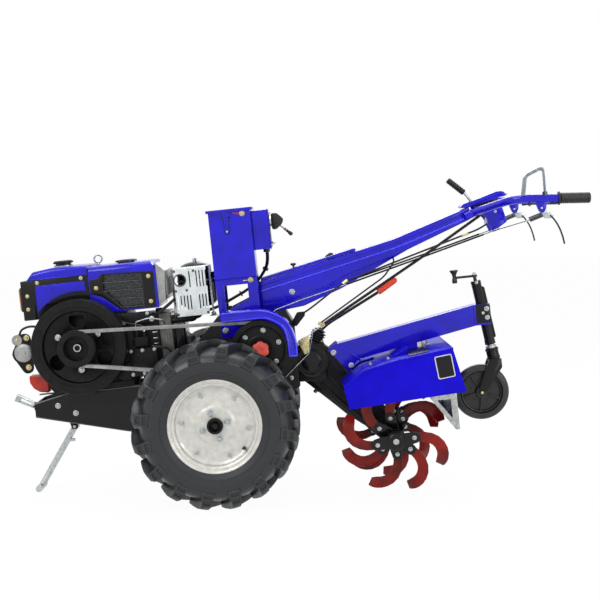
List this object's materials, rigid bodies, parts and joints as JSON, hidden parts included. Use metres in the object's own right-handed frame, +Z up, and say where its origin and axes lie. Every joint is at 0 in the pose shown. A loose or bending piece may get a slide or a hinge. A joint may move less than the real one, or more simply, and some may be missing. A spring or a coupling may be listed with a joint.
{
  "type": "walking tractor",
  "caption": "Blue two-wheel walking tractor with an open diesel engine, belt drive, long handlebars, rotary tiller with cover and a steerable tail wheel.",
  "frame": {"origin": "on the floor, under the middle of the whole machine, lugged tyres and front stand standing on it", "axes": "+X rearward, from the engine to the grips; +Y to the right of the operator, who walks behind the grips and faces forward, so -Y is the side of the flywheel and belts; +Z up"},
  "size_m": [2.2348, 0.815, 1.2786],
  "materials": {
    "blue_paint": "gloss",
    "black_paint": "gloss",
    "black_cast": "satin",
    "zinc": "satin",
    "galvanised": "satin",
    "grey_cast": "matt",
    "guard_steel": "satin",
    "red_paint": "satin",
    "red_plastic": "matt",
    "black_plastic": "satin",
    "tyre_rubber": "matt",
    "belt_rubber": "matt",
    "orange_rubber": "satin",
    "amber_lens": "gloss"
  },
  "bodies": {
    "machine": {"engine_bed": "black_paint", "crankcase": "black_cast", "cylinder_head": "grey_cast", "muffler": "black_cast", "muffler_guard": "guard_steel", "air_cleaner": "black_paint", "radiator_shroud": "blue_paint", "grille_left": "black_paint", "grille_right": "black_paint", "fuel_tank": "blue_paint", "tank_housing": "black_paint", "front_lamp_left": "amber_lens", "front_lamp_right": "amber_lens", "fuel_cap": "black_plastic", "radiator_cap": "black_plastic", "generator": "black_cast", "gear_cover": "red_paint", "gearbox": "black_cast", "belt_guard": "blue_paint", "battery_stand": "blue_paint", "battery_box": "blue_paint", "battery": "black_plastic", "battery_lead": "black_plastic", "handle_beam": "blue_paint", "handlebar": "blue_paint", "grip_left": "black_plastic", "grip_right": "black_plastic", "steering_lever_left": "black_paint", "steering_lever_right": "black_paint", "lever_console": "blue_paint", "hand_loop": "zinc", "shift_rod": "black_paint", "tiller_drive_case": "black_cast", "shift_lever": "black_plastic", "shift_grip": "orange_rubber", "tiller_beam": "blue_paint", "tiller_cover": "blue_paint", "levelling_board": "galvanised", "tail_column": "black_paint", "belt_outer": "belt_rubber", "belt_inner": "belt_rubber"},
    "wheel_left": {"tyre_left": "tyre_rubber", "wheel_disc_left": "galvanised"},
    "wheel_right": {"tyre_right": "tyre_rubber", "wheel_disc_right": "galvanised"},
    "crank": {"flywheel": "black_cast"},
    "clutch": {"clutch_pulley": "black_cast", "clutch_cap": "red_plastic"},
    "rotor": {"tiller_rotor": "red_paint"},
    "stand": {"front_stand": "zinc"},
    "lid": {"battery_lid": "blue_paint"},
    "tail_post": {"tail_stem": "zinc"},
    "tail_yoke": {"tail_fork": "black_paint"},
    "tail_roller": {"tail_wheel": "tyre_rubber"}
  },
  "joints": [
    {"name": "wheel_left_turn", "type": "hinge", "parent": "machine", "child": "wheel_left", "pos_m": [-0.289, -0.325, 0.31959], "axis": [0, 1, 0], "continuous": true},
    {"name": "wheel_right_turn", "type": "hinge", "parent": "machine", "child": "wheel_right", "pos_m": [-0.289, 0.325, 0.31959], "axis": [0, 1, 0], "continuous": true},
    {"name": "crank_turn", "type": "hinge", "parent": "machine", "child": "crank", "pos_m": [-0.83022, -0.174, 0.59542], "axis": [0, 1, 0], "continuous": true},
    {"name": "clutch_turn", "type": "hinge", "parent": "machine", "child": "clutch", "pos_m": [-0.12203, -0.2, 0.59119], "axis": [0, 1, 0], "continuous": true},
    {"name": "rotor_turn", "type": "hinge", "parent": "machine", "child": "rotor", "pos_m": [0.39784, 0, 0.23977], "axis": [0, 1, 0], "continuous": true},
    {"name": "stand_swing", "type": "hinge", "parent": "machine", "child": "stand", "pos_m": [-0.87608, 0, 0.26093], "axis": [0, 1, 0], "range_deg": [-85, 0]},
    {"name": "lid_hinge", "type": "hinge", "parent": "machine", "child": "lid", "pos_m": [-0.25106, 0.1038, 1.12958], "axis": [0.9947, 0, 0.1028], "range_deg": [-100, 0]},
    {"name": "tail_height", "type": "slide", "parent": "machine", "child": "tail_post", "axis": [0.2402, 0, -0.9707], "range_m": [0, 0.15]},
    {"name": "tail_swivel", "type": "hinge", "parent": "tail_post", "child": "tail_yoke", "pos_m": [0.79806, 0, 0.57579], "axis": [0.2402, 0, -0.9707], "continuous": true},
    {"name": "tail_wheel_turn", "type": "hinge", "parent": "tail_yoke", "child": "tail_roller", "pos_m": [0.75842, 0, 0.39868], "axis": [0, 1, 0], "continuous": true}
  ],
  "couplings": [
    {"joint": "clutch_turn", "follows": "crank_turn", "ratio": 0.5925}
  ]
}
